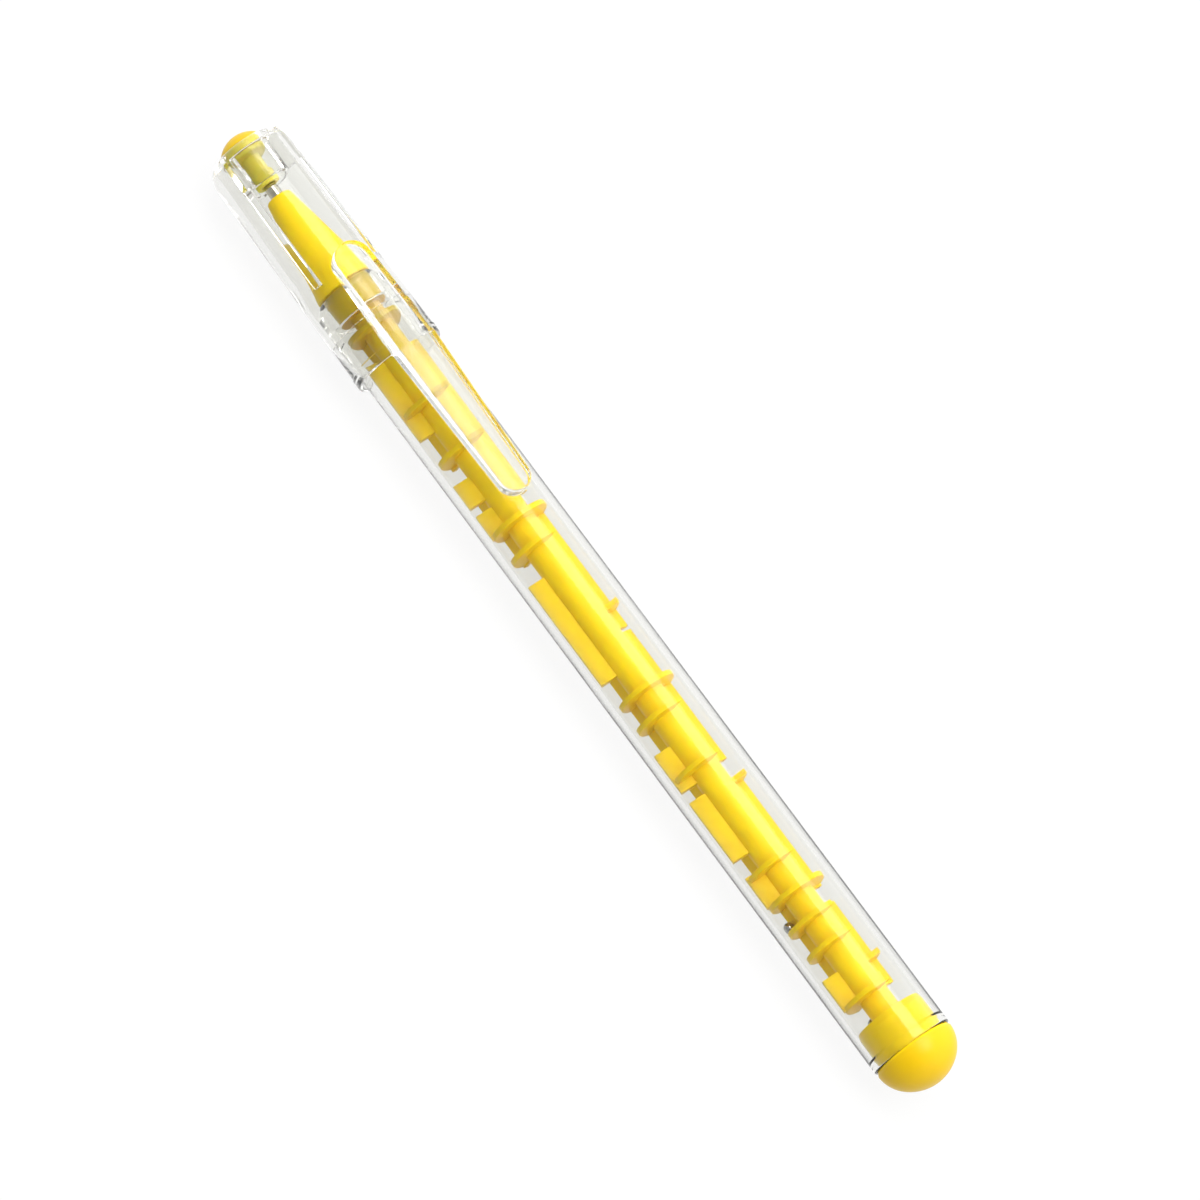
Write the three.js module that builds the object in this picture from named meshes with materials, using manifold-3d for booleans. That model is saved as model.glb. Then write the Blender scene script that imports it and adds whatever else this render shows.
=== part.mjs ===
// A capped ballpoint pen with a ball maze in its clear barrel. The pen lies along X, cap first and tail last,
// with the clip up. Lengths are millimetres. A station is a distance along the axis from the cap's dome, and
// an angle goes round the axis from the clip side (+Z) towards +Y, in degrees.
import * as THREE from 'three';
import { mergeVertices } from 'three/addons/utils/BufferGeometryUtils.js';
import Module from 'manifold-3d';

const wasm = await Module();
wasm.setup();

// Driving sizes, from the inside of the pen out.
const SIDES = 48; // facets round the barrel, cap and domes
const SMALL_SIDES = 24; // facets round the rod, refill and point
const SLIDE_GAP = 0.07; // between pieces that slide or seat on each other
const FACE_GAP = 0.3; // between end faces that would touch
const RUNNING_GAP = 0.04; // round the writing ball

const REFILL_R = 1.25;
const REFILL_WALL = 0.4;
const REFILL_TAIL_SPACE = 3; // free length behind the refill, inside the rod
const INK_TAIL_SPACE = 19.15; // free length behind the ink, inside the refill tube
const INK_CHANNEL_R = 0.25;
const POINT_R = 0.9;
const POINT_EXPOSED = 3.7; // from the nose cone to the writing ball's front
const POINT_SHANK_DEPTH = 2.4; // how far the point's body reaches into the nose cone
const POINT_TUBE_DEPTH = 3; // how far the point's shank reaches into the refill tube
const POINT_CONE_LENGTH = 1.9;
const POINT_LIP = 0.04; // metal left outside the ball's seat at the front
const POINT_LIP_ANGLE = 125; // how far the seat closes over the ball, from its back
const WRITING_BALL_R = 0.35;

const ROD_WALL = 0.73;
const MAZE_BALL_R = 0.794; // a 1/16 inch steel ball
const BALL_PLAY = 0.73; // free depth of the ball's channel, past the ball's diameter
const BALL_REST_GAP = 0.05; // between a ball at rest and the barrel's bore
const RING_TOP_GAP = 0.32; // between the tops of the round walls and the barrel's bore
const RIB_TOP_GAP = 0.13; // and between the tops of the straight walls and the bore
const RING_THICKNESS = 0.7;
const RIB_THICKNESS = 0.9;
const BLOCK_THICKNESS = 1.2; // of the short thick walls

const BARREL_LENGTH = 119.8;
const BARREL_WALL = 0.98;
const BARREL_DRAFT = 0.0025; // growth of the outer radius for each mm towards the tail
const BORE_DRAFT = 0.0038;
const BARREL_CHAMFER = [1.5, 1.05]; // at the front: along the axis, and across it
const COLLAR_LENGTH = 3.7; // the thick front of the barrel, which holds the nose cone
const COLLAR_DEPTH = 0.85;
const TAIL_EDGE = 0.3;

const NOSE_LENGTH = 14.85;
const NOSE_FRONT_R = 1.75;
const NOSE_FRONT_ROUND = 0.4;
const NOSE_STEP = 0.15; // the nose cone's base stays this far inside the barrel's chamfer
const ROD_SOCKET_DEPTH = 2;

const TAIL_SKIRT_LENGTH = 5.1;
const TAIL_DOME_LENGTH = 5.1;
const TAIL_DOME_INSET = 0.1;
const TAIL_LEAD_IN = [0.9, 0.22];
const SNAP_OFFSET = 1.3; // from the barrel's end to the middle of the snap bead
const SNAP_HEIGHT = 0.06;
const SNAP_WIDTH = 0.5;

const CAP_OVERLAP = 11.3; // how far the cap reaches over the barrel
const CAP_TIGHT_LENGTH = 9.6; // the close-fitting part of the cap's bore, with its lead-in
const CAP_TIGHT_START = 4.4; // ahead of the barrel's front
const CAP_BORE_STEP = 0.37;
const CAP_BORE_LEAD = 3.6; // length over which the cap's bore grows by that step
const CAP_RELIEF = 0.18;
const CAP_WALL = 0.8;
const CAP_WAIST = 0.2; // the cap is this much slimmer at the clip's root than at the mouth
const CAP_FRONT_TAPER = 0.5; // and this much slimmer at its shoulder
const CAP_FRONT_THICKNESS = 1.35;
const CAP_SHOULDER = 2.7;
const CAP_FACE_R = 3.5;
const CAP_LIP = [1.4, 0.11];
const CAP_LEAD_IN = 0.6;
const SLEEVE_WALL = 0.65;
const SLEEVE_LENGTH = 4.5;
const CAP_RIB_ANGLES = [-56, 56, 180];
const CAP_RIB_WIDTH = 1.05;
const CAP_RIB_HEIGHT = 0.65;
const CAP_RIB_GAP = 1.7; // from the ribs' ends to the barrel's front

const PLUG_DOME_HEIGHT = 1.75;
const PLUG_DOME_R = 3.3;
const PLUG_BODY_R = 2.6;
const PLUG_BODY_LENGTH = 1.7;
const PLUG_SOCKET_LENGTH = 1.8;
const PLUG_NOSE_GAP = 1.95; // from the plug's socket to the nose cone
const PLUG_SOCKET_WALL = 0.68;
const PLUG_STEM_WALL = 0.38;
const PLUG_TIP_ROOM = 0.35; // between the writing ball and the bottom of the plug's socket
const PLUG_FLOOR = 2.15; // solid length between the plug's body and the bottom of its socket

const CLIP_ROOT_WIDTH = 5;
const CLIP_WIDTH = 5.64; // at the cap's mouth, where the clip is widest
const CLIP_TIP_WIDTH = 4.4;
const CLIP_ROOT_BACK = 15.1; // from the root's front to the cap's mouth
const CLIP_ROOT_RISE = 1.95; // height of the root's front over the cap
const CLIP_RISE = 2.24; // height of the clip over the lip, at the cap's mouth
const CLIP_REACH = 24; // from the cap's mouth to the clip's tip
const CLIP_LIFT = 0.1; // free height under the arm, over the barrel
const CLIP_TIP_THICKNESS = 2.05;

// The maze, in steps of a 110th of its length. Walls along the rod: [angle, first step, last step].
const MAZE_STEPS = 110;
const MAZE_FRONT_SPACE = 1;
const RIBS = [
  [112, 5, 28.9], [112, 31.2, 50.4], [112, 50.9, 71.4], [112, 74.1, 91.4], [112, 93.8, 106.4],
  [-158, 0.9, 21.4], [-158, 23.9, 36.7], [-158, 39.9, 106.2],
  [157, 12, 30], [157, 36.5, 58.5], [157, 64, 84], [157, 95, 106.5],
];
// Short thick walls, all at one angle: [first step, last step].
const BLOCK_ANGLE = -99;
const BLOCKS = [
  [4.7, 16.7], [23.9, 27.5], [28.7, 32.4], [39.9, 55.5], [66.6, 72.4], [74, 83.3], [85.8, 90.5], [101.9, 106.6],
];
// Walls round the rod: [step, first angle, last angle].
const RINGS = [
  [1.3, -170, 150], [13.2, -150, 20], [20.7, -160, 20], [32.2, -150, 112], [36.2, -160, 20], [47.6, 60, 200],
  [59.2, -160, 112], [62.9, -160, 20], [70.9, -100, 20], [74.6, 65, 165], [86.4, -130, 20], [90.8, -160, 112],
  [94.8, -160, 20], [98.7, -160, 20], [102.6, 65, 200], [106.5, -160, 20],
];

// The first ball rests beside a straight wall, just ahead of a round one, and the second at the bottom of the
// channel by the tail.
const FIRST_BALL = { ringStep: 94.8, ringGap: 0.156, wallAngle: -158 };
const SECOND_BALL_ANGLE = -170;

// Radii that follow.
const refillBore = REFILL_R - REFILL_WALL;
const rodBore = REFILL_R + SLIDE_GAP;
const rodR = rodBore + ROD_WALL;
const boreR = rodR + 2 * MAZE_BALL_R + BALL_PLAY;
const barrelR = boreR + BARREL_WALL;
const collarBore = boreR - COLLAR_DEPTH;
const ringR = boreR - RING_TOP_GAP;
const ribR = boreR - RIB_TOP_GAP;
const noseBaseR = barrelR - BARREL_CHAMFER[1] - NOSE_STEP;
const capTightR = barrelR + SLIDE_GAP;
const capCavityR = capTightR - CAP_BORE_STEP;
const capMouthR = capTightR + CAP_WALL;
const capWaistR = capMouthR - CAP_WAIST;
const capShoulderR = capMouthR - CAP_FRONT_TAPER;
const lipR = capMouthR + CAP_LIP[1];
const plugBoreR = PLUG_BODY_R + SLIDE_GAP;
const sleeveR = plugBoreR + SLEEVE_WALL;
const tipSocketR = POINT_R + SLIDE_GAP;

// Stations that follow, from the cap's dome to the tail.
const capFace = PLUG_DOME_HEIGHT;
const plugBodyEnd = capFace + PLUG_BODY_LENGTH;
const tipSocketFloor = plugBodyEnd + PLUG_FLOOR;
const tip = tipSocketFloor + PLUG_TIP_ROOM;
const noseFront = tip + POINT_EXPOSED;
const noseBase = noseFront + NOSE_LENGTH;
const barrelFront = noseBase + FACE_GAP;
const collarEnd = barrelFront + COLLAR_LENGTH;
const barrelEnd = barrelFront + BARREL_LENGTH;
const tailFace = barrelEnd - TAIL_SKIRT_LENGTH;
const length = barrelEnd + FACE_GAP + TAIL_DOME_LENGTH;
const capMouth = barrelFront + CAP_OVERLAP;
const capTightStart = barrelFront - CAP_TIGHT_START;
const capTightEnd = capTightStart + CAP_TIGHT_LENGTH;
const mazeFront = collarEnd + MAZE_FRONT_SPACE;
const mazeStep = (tailFace - mazeFront) / MAZE_STEPS;
const shankEnd = noseFront + POINT_SHANK_DEPTH;
const refillFront = shankEnd + FACE_GAP;
const refillEnd = tailFace + ROD_SOCKET_DEPTH - REFILL_TAIL_SPACE;
const clipRootFront = capMouth - CLIP_ROOT_BACK;
const clipTip = capMouth + CLIP_REACH;

const barrelRadiusAt = (station) => barrelR + BARREL_DRAFT * (station - barrelFront);
const boreRadiusAt = (station) => boreR + BORE_DRAFT * (station - barrelFront);
const mazeStation = (step) => mazeFront + step * mazeStep;
const ballOrbitAt = (station) => boreRadiusAt(station) - BALL_REST_GAP - MAZE_BALL_R;
const radians = THREE.MathUtils.degToRad;

// Solids. Each is a manifold solid about the X axis, and becomes a mesh at the end.
function solid(geometry) {
  geometry.deleteAttribute('normal');
  geometry.deleteAttribute('uv');
  const merged = mergeVertices(geometry, 1e-4);
  const corners = merged.index.array;
  const triangles = [];
  for (let i = 0; i < corners.length; i += 3) {
    const [a, b, c] = corners.slice(i, i + 3);
    if (a !== b && b !== c && c !== a) triangles.push(a, b, c);
  }
  const vertProperties = merged.attributes.position.array;
  return new wasm.Manifold(new wasm.Mesh({ numProp: 3, vertProperties, triVerts: new Uint32Array(triangles) }));
}

// A solid of revolution. The profile is [station, radius] points, anticlockwise with the radius up: a closed
// loop, or a line that starts and ends on the axis. Its facets have flats at the top and bottom.
function turned(profile, sides = SIDES) {
  const points = profile.map(([station, radius]) => new THREE.Vector2(radius, station)).reverse();
  if (profile[0][1] > 0) points.push(points[0]);
  const geometry = new THREE.LatheGeometry(points, sides, Math.PI / sides);
  return solid(geometry.rotateZ(-Math.PI / 2));
}

// Points along a quarter of an ellipse: from angle 0 at (station + along, radius) to 90 degrees at
// (station, radius + across).
function quarter(station, radius, along, across, steps) {
  return Array.from({ length: steps + 1 }, (_, i) => {
    const angle = (i / steps) * (Math.PI / 2);
    return [station + along * Math.cos(angle), radius + across * Math.sin(angle)];
  });
}

// A plate from its outline in (Y, Z), as thick as depth along X from the station.
function plate(outline, station, depth) {
  const shape = new THREE.Shape(outline.map(([y, z]) => new THREE.Vector2(y, z)));
  const geometry = new THREE.ExtrudeGeometry(shape, { depth, bevelEnabled: false });
  const turn = new THREE.Matrix4().makeBasis(
    new THREE.Vector3(0, 1, 0), new THREE.Vector3(0, 0, 1), new THREE.Vector3(1, 0, 0));
  return solid(geometry.applyMatrix4(turn).translate(station, 0, 0));
}

// A straight wall along the axis, at an angle round it.
function rib(angle, from, to, inner, outer, thickness) {
  const box = new THREE.BoxGeometry(to - from, thickness, outer - inner);
  box.translate((from + to) / 2, 0, (inner + outer) / 2);
  return solid(box.rotateX(-radians(angle)));
}

const joined = (parts) => parts.reduce((whole, part) => whole.add(part));

// Pieces of the pen body.
function barrelTube() {
  const edge = TAIL_EDGE;
  const snap = barrelEnd - SNAP_OFFSET;
  const snapR = boreRadiusAt(snap) + SNAP_HEIGHT + SLIDE_GAP;
  const half = SNAP_WIDTH / 2 + SLIDE_GAP;
  return turned([
    [barrelEnd, boreRadiusAt(barrelEnd)],
    [barrelEnd, barrelRadiusAt(barrelEnd) - edge],
    [barrelEnd - edge, barrelRadiusAt(barrelEnd)],
    [barrelFront + BARREL_CHAMFER[0], barrelR],
    [barrelFront, barrelR - BARREL_CHAMFER[1]],
    [barrelFront, collarBore],
    [collarEnd, collarBore],
    [collarEnd, boreRadiusAt(collarEnd)],
    [snap - half, boreRadiusAt(snap - half)],
    [snap, snapR],
    [snap + half, boreRadiusAt(snap + half)],
  ]);
}

function mazeRing([step, from, to]) {
  const turns = Math.ceil((to - from) / 12);
  const arc = (radius) => Array.from({ length: turns + 1 }, (_, i) => {
    const angle = radians(from + ((to - from) * i) / turns);
    return [radius * Math.sin(angle), radius * Math.cos(angle)];
  });
  const outline = [...arc(ringR), ...arc(rodBore + ROD_WALL / 2).reverse()];
  return plate(outline, mazeStation(step) - RING_THICKNESS / 2, RING_THICKNESS);
}

function mazeCore() {
  const front = collarEnd - ROD_SOCKET_DEPTH + SLIDE_GAP;
  const end = tailFace + ROD_SOCKET_DEPTH - SLIDE_GAP;
  const rod = turned([[end, rodBore], [end, rodR], [front, rodR], [front, rodBore]], SMALL_SIDES);
  const inner = rodBore + ROD_WALL / 2;
  const ribs = RIBS.map(([angle, from, to]) =>
    rib(angle, mazeStation(from), mazeStation(to), inner, ribR, RIB_THICKNESS));
  const blocks = BLOCKS.map(([from, to]) =>
    rib(BLOCK_ANGLE, mazeStation(from), mazeStation(to), inner, ribR, BLOCK_THICKNESS));
  return joined([rod, ...ribs, ...blocks, ...RINGS.map(mazeRing)]);
}

function mazeBall(station, angle) {
  const ball = new THREE.SphereGeometry(MAZE_BALL_R, 16, 12);
  return solid(ball.translate(station, 0, ballOrbitAt(station)).rotateX(-radians(angle)));
}

function firstBall() {
  const ringFace = mazeStation(FIRST_BALL.ringStep) - RING_THICKNESS / 2;
  const station = ringFace - FIRST_BALL.ringGap - MAZE_BALL_R;
  const besideWall = Math.asin((RIB_THICKNESS / 2 + SLIDE_GAP + MAZE_BALL_R) / ballOrbitAt(station));
  return mazeBall(station, FIRST_BALL.wallAngle + THREE.MathUtils.radToDeg(besideWall));
}

function secondBall() {
  return mazeBall(tailFace - MAZE_BALL_R - SLIDE_GAP, SECOND_BALL_ANGLE);
}

function noseCone() {
  const spigotR = collarBore - SLIDE_GAP;
  const spigotEnd = collarEnd - SLIDE_GAP;
  const rodSocket = spigotEnd - ROD_SOCKET_DEPTH;
  const round = quarter(0, 0, NOSE_FRONT_ROUND, NOSE_FRONT_ROUND, 3).map(([along, across]) =>
    [noseFront + NOSE_FRONT_ROUND - across, NOSE_FRONT_R - NOSE_FRONT_ROUND + along]);
  return turned([
    [spigotEnd, rodR + SLIDE_GAP],
    [spigotEnd, spigotR],
    [noseBase, spigotR],
    [noseBase, noseBaseR],
    ...round,
    [noseFront, POINT_R + SLIDE_GAP],
    [shankEnd, POINT_R + SLIDE_GAP],
    [shankEnd, rodBore],
    [rodSocket, rodBore],
    [rodSocket, rodR + SLIDE_GAP],
  ], SIDES);
}

function tailPlug() {
  const base = barrelEnd + FACE_GAP;
  const domeR = barrelRadiusAt(barrelEnd) - TAIL_DOME_INSET;
  const skirtR = boreRadiusAt(barrelEnd) - SLIDE_GAP;
  const leadR = boreRadiusAt(tailFace) - SLIDE_GAP;
  const snap = barrelEnd - SNAP_OFFSET;
  const socket = tailFace + ROD_SOCKET_DEPTH;
  const onSkirt = (station) => boreRadiusAt(station) - SLIDE_GAP;
  return turned([
    ...quarter(base, 0, TAIL_DOME_LENGTH, domeR, 9),
    [base, skirtR],
    [snap + SNAP_WIDTH / 2, onSkirt(snap + SNAP_WIDTH / 2)],
    [snap, onSkirt(snap) + SNAP_HEIGHT],
    [snap - SNAP_WIDTH / 2, onSkirt(snap - SNAP_WIDTH / 2)],
    [tailFace + TAIL_LEAD_IN[0], leadR],
    [tailFace, leadR - TAIL_LEAD_IN[1]],
    [tailFace, rodR + SLIDE_GAP],
    [socket, rodR + SLIDE_GAP],
    [socket, 0],
  ]);
}

// Pieces of the refill.
function refillTube() {
  return turned(
    [[refillEnd, refillBore], [refillEnd, REFILL_R], [refillFront, REFILL_R], [refillFront, refillBore]],
    SMALL_SIDES);
}

function inkColumn() {
  const r = refillBore - SLIDE_GAP;
  const front = shankEnd + POINT_TUBE_DEPTH + FACE_GAP;
  const end = refillEnd - INK_TAIL_SPACE;
  return turned([[end, 0], [end, r], [front, r], [front, 0]], SMALL_SIDES);
}

function metalPoint() {
  const seatR = WRITING_BALL_R + RUNNING_GAP;
  const centre = tip + WRITING_BALL_R;
  const end = shankEnd + POINT_TUBE_DEPTH;
  const seat = [POINT_LIP_ANGLE, 95, 65].map((angle) =>
    [centre + seatR * Math.cos(radians(angle)), seatR * Math.sin(radians(angle))]);
  const seatBack = centre + Math.sqrt(seatR ** 2 - INK_CHANNEL_R ** 2);
  return turned([
    [end, INK_CHANNEL_R],
    [end, refillBore - SLIDE_GAP],
    [shankEnd, refillBore - SLIDE_GAP],
    [shankEnd, POINT_R],
    [centre + POINT_CONE_LENGTH, POINT_R],
    [seat[0][0], seatR + POINT_LIP],
    ...seat,
    [seatBack, INK_CHANNEL_R],
  ], SMALL_SIDES);
}

function writingBall() {
  return solid(new THREE.SphereGeometry(WRITING_BALL_R, 12, 8).translate(tip + WRITING_BALL_R, 0, 0));
}

// Pieces of the cap.
function capShell() {
  const shoulder = capFace + CAP_SHOULDER;
  const inside = capFace + CAP_FRONT_THICKNESS;
  const frontCavityR = capShoulderR - CAP_WALL - CAP_WAIST;
  const round = quarter(shoulder, CAP_FACE_R, -CAP_SHOULDER, capShoulderR - CAP_FACE_R, 5).reverse();
  return turned([
    [capMouth, capTightR + CAP_RELIEF + CAP_LEAD_IN / 3],
    [capMouth, lipR - CAP_LIP[1]],
    [capMouth - CAP_LIP[1], lipR],
    [capMouth - CAP_LIP[0], lipR],
    [capMouth - CAP_LIP[0] - CAP_LIP[1], capMouthR],
    [clipRootFront, capWaistR],
    ...round,
    [capFace, plugBoreR],
    [inside + SLEEVE_LENGTH, plugBoreR],
    [inside + SLEEVE_LENGTH, sleeveR],
    [inside, sleeveR],
    [inside, frontCavityR],
    [capTightStart, capCavityR],
    [capTightStart + CAP_BORE_LEAD, capTightR],
    [capTightEnd, capTightR],
    [capTightEnd, capTightR + CAP_RELIEF],
    [capMouth - CAP_LEAD_IN, capTightR + CAP_RELIEF],
  ]);
}

// The web that ties the sleeve to the wall, and the rib that follows it along the wall.
function capRib(angle) {
  const inside = capFace + CAP_FRONT_THICKNESS;
  const sleeveEnd = inside + SLEEVE_LENGTH;
  const inWall = capShoulderR - CAP_WALL / 2;
  const ribEnd = barrelFront - CAP_RIB_GAP;
  const web = rib(angle, inside - CAP_FRONT_THICKNESS / 2, sleeveEnd, sleeveR - SLEEVE_WALL / 2, inWall,
    CAP_RIB_WIDTH);
  const long = rib(angle, sleeveEnd - CAP_RIB_WIDTH, ribEnd, capCavityR - CAP_RIB_HEIGHT, inWall,
    CAP_RIB_WIDTH);
  return web.add(long);
}

// The clip's plan: round ends, and sides that spread from the root to the cap's mouth and close to the tip.
function clipPlan() {
  const root = CLIP_ROOT_WIDTH / 2;
  const tip = CLIP_TIP_WIDTH / 2;
  const plan = new THREE.Shape();
  plan.absarc(clipTip - tip, 0, tip, -Math.PI / 2, Math.PI / 2, false);
  plan.lineTo(capMouth, CLIP_WIDTH / 2);
  plan.absarc(clipRootFront + root, 0, root, Math.PI / 2, (3 * Math.PI) / 2, false);
  plan.lineTo(capMouth, -CLIP_WIDTH / 2);
  return solid(new THREE.ExtrudeGeometry(plan, { depth: 4 * lipR, bevelEnabled: false, curveSegments: 14 }));
}

// A side view in (station, height), as wide as the clip and more.
function sidePlate(outline) {
  const shape = new THREE.Shape(outline.map(([station, height]) => new THREE.Vector2(station, height)));
  const geometry = new THREE.ExtrudeGeometry(shape, { depth: 2 * CLIP_WIDTH, bevelEnabled: false });
  return solid(geometry.rotateX(Math.PI / 2).translate(0, CLIP_WIDTH, 0));
}

const clipTop = lipR + CLIP_RISE;

function clipRoot() {
  const side = sidePlate([
    [clipRootFront, 0], [capMouth, 0], [capMouth, clipTop], [clipRootFront, capWaistR + CLIP_ROOT_RISE],
  ]);
  const inWall = capMouthR - CAP_WALL / 2;
  const inside = turned([[clipTip, 0], [clipTip, inWall], [0, inWall], [0, 0]]);
  return side.intersect(clipPlan()).subtract(inside);
}

function clipArm() {
  const start = capMouth + FACE_GAP;
  const under = (station) => barrelRadiusAt(station) + CLIP_LIFT;
  const side = sidePlate([
    [start, under(start)], [clipTip, under(clipTip)], [clipTip, under(clipTip) + CLIP_TIP_THICKNESS],
    [start, clipTop],
  ]);
  return side.intersect(clipPlan());
}

function capBody() {
  return joined([capShell(), clipRoot(), ...CAP_RIB_ANGLES.map(capRib)]);
}

function capPlug() {
  const headEnd = noseFront - PLUG_NOSE_GAP;
  const headStart = headEnd - PLUG_SOCKET_LENGTH;
  const stemR = tipSocketR + PLUG_STEM_WALL;
  const headR = tipSocketR + PLUG_SOCKET_WALL;
  const dome = quarter(capFace, 0, -PLUG_DOME_HEIGHT, PLUG_DOME_R, 6).reverse();
  return turned([
    [tipSocketFloor, 0],
    [tipSocketFloor, tipSocketR],
    [headEnd, tipSocketR],
    [headEnd, headR],
    [headStart, headR],
    [headStart, stemR],
    [plugBodyEnd, stemR],
    [plugBodyEnd, PLUG_BODY_R],
    [capFace, PLUG_BODY_R],
    ...dome,
  ], SIDES);
}

// Materials.
const clearPlastic = new THREE.MeshStandardMaterial(
  { color: 0xeef0ea, roughness: 0.08, metalness: 0, transparent: true, opacity: 0.3 });
const yellowPlastic = new THREE.MeshStandardMaterial({ color: 0xffdc00, roughness: 0.35, metalness: 0 });
const milkyPlastic = new THREE.MeshStandardMaterial({ color: 0xe8e8e0, roughness: 0.4, metalness: 0 });
const blueInk = new THREE.MeshStandardMaterial({ color: 0x10208c, roughness: 0.3, metalness: 0 });
const nickelSilver = new THREE.MeshStandardMaterial({ color: 0xb9b7ad, roughness: 0.25, metalness: 1 });
const polishedSteel = new THREE.MeshStandardMaterial({ color: 0xc9cbcc, roughness: 0.08, metalness: 1 });

function mesh(name, shape, material) {
  const { vertProperties, triVerts } = shape.getMesh();
  const geometry = new THREE.BufferGeometry();
  geometry.setAttribute('position', new THREE.BufferAttribute(vertProperties, 3));
  geometry.setIndex(new THREE.BufferAttribute(triVerts, 1));
  geometry.computeVertexNormals();
  const piece = new THREE.Mesh(geometry, material);
  piece.name = name;
  return piece;
}

const pen = new THREE.Group();
pen.add(
  mesh('barrel_tube', barrelTube(), clearPlastic),
  mesh('maze_core', mazeCore(), yellowPlastic),
  mesh('maze_ball_1', firstBall(), polishedSteel),
  mesh('maze_ball_2', secondBall(), polishedSteel),
  mesh('nose_cone', noseCone(), yellowPlastic),
  mesh('tail_plug', tailPlug(), yellowPlastic),
  mesh('refill_tube', refillTube(), milkyPlastic),
  mesh('ink_column', inkColumn(), blueInk),
  mesh('metal_point', metalPoint(), nickelSilver),
  mesh('writing_ball', writingBall(), polishedSteel),
  mesh('cap_body', capBody(), clearPlastic),
  mesh('cap_plug', capPlug(), yellowPlastic),
  mesh('clip_arm', clipArm(), clearPlastic),
);
// The middle of the pen's length is X = 0, and the cap's lip stands on Z = 0.
pen.position.set(-length / 2, 0, lipR * Math.cos(Math.PI / SIDES));

export default pen;
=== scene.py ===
"""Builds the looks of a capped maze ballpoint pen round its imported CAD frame.

The pen lies along X with its clip up. A station is a distance along the pen from the tip of the cap's dome,
in millimetres. An angle goes round the pen's axis from the clip side (+Z) towards +Y, in degrees. Radii and
heights are millimetres from the pen's axis.
"""

import math

import bmesh
import bpy
from mathutils import Matrix, Vector


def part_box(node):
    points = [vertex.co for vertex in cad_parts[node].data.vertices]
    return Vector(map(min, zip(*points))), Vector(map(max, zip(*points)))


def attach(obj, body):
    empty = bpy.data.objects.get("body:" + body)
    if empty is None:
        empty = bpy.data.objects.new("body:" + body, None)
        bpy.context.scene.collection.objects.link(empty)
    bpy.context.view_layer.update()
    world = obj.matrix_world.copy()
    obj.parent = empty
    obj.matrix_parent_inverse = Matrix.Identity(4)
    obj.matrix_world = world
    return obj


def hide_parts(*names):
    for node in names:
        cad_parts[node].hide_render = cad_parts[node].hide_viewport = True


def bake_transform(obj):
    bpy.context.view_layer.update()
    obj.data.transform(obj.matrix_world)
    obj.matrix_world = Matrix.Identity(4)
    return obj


bl_info = {
    "name": "Maze Ballpoint Pen",
    "version": (1, 0, 0),
    "blender": (4, 5, 0),
    "location": "View3D > Sidebar > Maze Pen",
    "description": "Builds a capped ballpoint pen with a ball maze in its clear barrel",
    "category": "Object",
}

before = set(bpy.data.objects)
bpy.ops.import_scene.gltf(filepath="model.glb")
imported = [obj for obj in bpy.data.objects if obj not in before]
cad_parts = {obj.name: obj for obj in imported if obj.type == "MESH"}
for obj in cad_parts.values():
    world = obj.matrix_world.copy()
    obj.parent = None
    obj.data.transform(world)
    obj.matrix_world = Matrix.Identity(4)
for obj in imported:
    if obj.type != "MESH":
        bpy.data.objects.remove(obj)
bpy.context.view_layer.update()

MM = 0.001
START_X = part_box("cap_plug")[0].x
AXIS_Z = sum(corner.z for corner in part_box("barrel_tube")) / 2
ROUND_STEPS = 160  # facets round the clear pieces
SOFT_STEPS = 96  # and round the others
SMALL_STEPS = 48  # and round the thin ones
SEAT_GAP = 0.05  # between pieces that seat on each other
SHARP_EDGE = math.radians(35)


def stations(node):
    """The first and last station of a CAD node."""
    low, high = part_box(node)
    return (low.x - START_X) / MM, (high.x - START_X) / MM


def reach(node):
    """How far a round CAD node reaches from the pen's axis, across the pen."""
    low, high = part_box(node)
    return (high.y - low.y) / 2 / MM


BARREL_FRONT, BARREL_END = stations("barrel_tube")
NOSE_FRONT, NOSE_END = stations("nose_cone")
TAIL_FACE, TAIL_TIP = stations("tail_plug")
PLUG_END = stations("cap_plug")[1]
CAP_MOUTH = stations("cap_body")[1]
CLIP_TIP = stations("clip_arm")[1]
POINT_END = stations("metal_point")[1]

# Stations inside the pen.
CAP_FACE = 1.75  # the cap's front face, where the plug's dome starts
CAP_INSIDE = CAP_FACE + 1.35  # the inner side of that face
CAP_SLEEVE_END = CAP_INSIDE + 4.5  # the end of the sleeve round the plug's stem
PLUG_BODY_END = 3.45  # where the cap plug's stem starts
NOSE_BASE = BARREL_FRONT - 0.3  # where the nose cone's spigot starts
SHANK_END = NOSE_FRONT + 2.4  # the end of the writing point's thick part
COLLAR_END = NOSE_END + 0.07  # the end of the narrow bore at the barrel's front
SNAP = BARREL_END - 1.3  # the middle of the tail plug's snap bead and its groove

# Radii that more than one piece or part uses.
CAP_LIP_R = reach("cap_body")
CAP_WAIST_R = CAP_LIP_R - 0.31  # at the clip's root
CAP_SHOULDER_R = CAP_LIP_R - 0.61  # where the cap's front starts to round over
CAP_CAVITY_R = 5.05  # the cap's bore ahead of the barrel
COLLAR_R = 3.518  # the narrow bore at the barrel's front
ROD_R = 2.05
ROD_BORE_R = 1.32  # round the refill, in the rod and in the nose cone
ROD_SOCKET_R = 2.12  # the sockets in the nose cone and the tail plug that hold the rod
ROD_SOCKET_DEPTH = 2
SHANK_R = 0.9  # the writing point's thick part
REFILL_CONTENT_R = 0.77  # the ink, and the point's tube in front of it

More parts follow.
